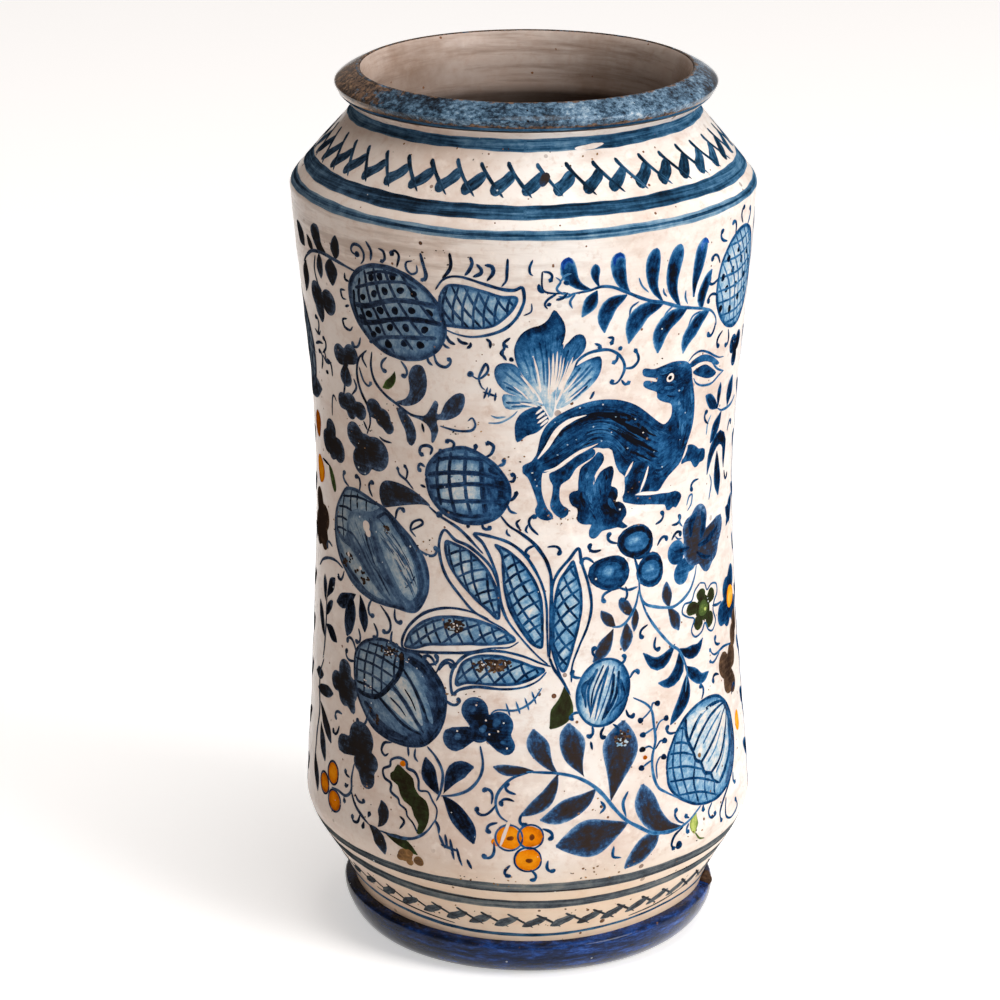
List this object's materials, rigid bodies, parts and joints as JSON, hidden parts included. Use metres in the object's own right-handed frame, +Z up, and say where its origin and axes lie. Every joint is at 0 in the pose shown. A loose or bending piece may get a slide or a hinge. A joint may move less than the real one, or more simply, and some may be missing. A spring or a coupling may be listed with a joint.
{
  "type": "albarello",
  "caption": "Tall waisted drug jar of tin-glazed earthenware with a sloping shoulder, rolled lip and low foot ring, painted in blue foliage; stands on its foot and holds dry goods.",
  "frame": {"origin": "centre of the base on the plane the jar stands on", "axes": "+Z up the axis of the jar, from the foot to the lip; +X and +Y square to it, with the painted front towards -Y"},
  "size_m": [0.157, 0.157, 0.3045],
  "materials": {
    "clay": "bare buff earthenware, matt and slightly rough",
    "white_glaze": "warm white tin glaze, glossy, with specks and fine pits",
    "blue_glaze": "cobalt blue glaze, glossy, streaked, worn to brown on the edges",
    "cobalt_paint": "cobalt brushwork sunk into the glaze, darker where it pools",
    "green_paint": "copper green brushwork in the glaze",
    "ochre_paint": "orange ochre brushwork in the glaze"
  },
  "bodies": {
    "root": {"foot_ring": "clay", "floor_disc": "clay", "heel_wall": "clay", "body_wall": "clay", "shoulder_wall": "clay", "lip_collar": "clay", "foot_glaze": "blue_glaze", "white_glaze": "white_glaze", "lip_glaze": "blue_glaze", "lining_glaze": "white_glaze"}
  },
  "joints": []
}
